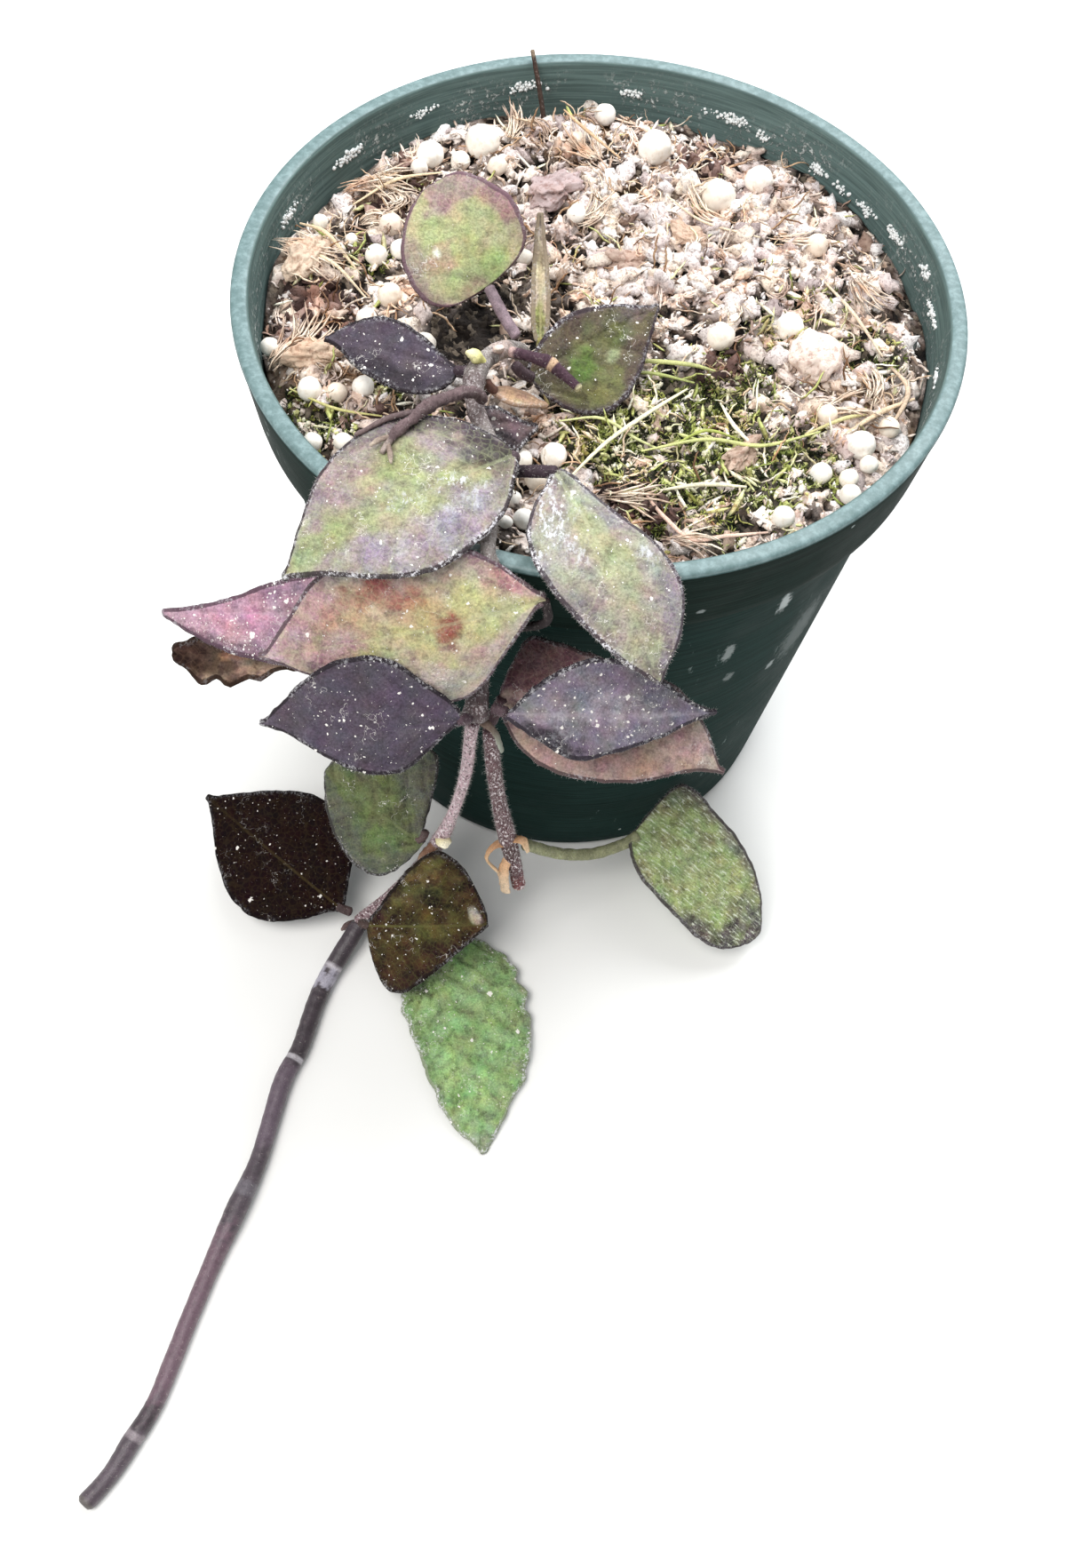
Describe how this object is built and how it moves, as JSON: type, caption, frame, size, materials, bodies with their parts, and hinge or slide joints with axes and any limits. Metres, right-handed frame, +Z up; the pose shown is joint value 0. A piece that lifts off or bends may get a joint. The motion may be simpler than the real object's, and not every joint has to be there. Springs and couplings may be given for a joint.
{
  "type": "potted hoya plant",
  "caption": "Trailing hoya vine with hairy mottled leaves, rooted in a round nursery pot; the vine leans over the rim and lies along the surface in front.",
  "frame": {"origin": "centre of the pot's flat underside, on the surface it stands on", "axes": "+Z up the pot's axis, -Y towards the viewer and along the trailing vine, +X to the viewer's right"},
  "size_m": [0.1172, 0.2165, 0.1154],
  "materials": {
    "pot": "satin moulded plastic, faint turning rings inside, scuffed outside",
    "soil": "loose bark, root fibre, moss and white perlite",
    "main_stem": "corky grey-brown",
    "hanging_stem": "pinkish brown with dense white hairs",
    "trailing_shoot": "smooth, dark, pale rings at the nodes",
    "cut_branch": "brown-purple, hairy, pale cut end",
    "peduncle": "gnarly, ringed",
    "cut_spur": "dark with tan sheath",
    "rim_twig": "thin dry twig",
    "round_leaf": "green centre, purple margin, short hairs",
    "dark_left_leaf": "violet-black, white specks",
    "mottled_right_leaf": "olive mottled with purple",
    "large_rim_leaf": "grey-purple with green mottling and a silvery bloom",
    "silver_rim_leaf": "grey-green with a white left margin",
    "blotched_leaf": "olive centre with pink and red-brown blotches",
    "pink_leaf": "magenta-pink with dark margins",
    "dark_pair_left_leaf": "dark violet-grey with specks",
    "dark_pair_right_leaf": "purple-grey with pale crusty specks",
    "maroon_leaf": "maroon, pale thin margin",
    "green_grey_leaf": "olive centre, grey-green margins",
    "near_black_leaf": "near-black with an olive midrib",
    "folded_mottled_leaf": "brown and olive mottling, hairy margins",
    "green_puckered_leaf": "bright green, puckered, hairy edge",
    "green_woolly_leaf": "green with white woolly hairs and dark margins",
    "small_maroon_leaf": "grey-purple",
    "dry_bract": "dry tan",
    "dry_upright_leaf": "dry, yellow-green at its foot",
    "dry_leaf": "dry dark brown with a pale streak"
  },
  "bodies": {
    "root": {"pot": "pot", "soil": "soil", "main_stem": "main_stem", "hanging_stem": "hanging_stem", "trailing_shoot": "trailing_shoot", "cut_branch": "cut_branch", "peduncle": "peduncle", "cut_spur": "cut_spur", "rim_twig": "rim_twig", "round_leaf": "round_leaf", "dark_left_leaf": "dark_left_leaf", "mottled_right_leaf": "mottled_right_leaf", "large_rim_leaf": "large_rim_leaf", "silver_rim_leaf": "silver_rim_leaf", "blotched_leaf": "blotched_leaf", "pink_leaf": "pink_leaf", "dark_pair_left_leaf": "dark_pair_left_leaf", "dark_pair_right_leaf": "dark_pair_right_leaf", "maroon_leaf": "maroon_leaf", "green_grey_leaf": "green_grey_leaf", "near_black_leaf": "near_black_leaf", "folded_mottled_leaf": "folded_mottled_leaf", "green_puckered_leaf": "green_puckered_leaf", "green_woolly_leaf": "green_woolly_leaf", "small_maroon_leaf": "small_maroon_leaf", "dry_bract": "dry_bract", "dry_upright_leaf": "dry_upright_leaf", "dry_leaf": "dry_leaf"}
  },
  "joints": []
}
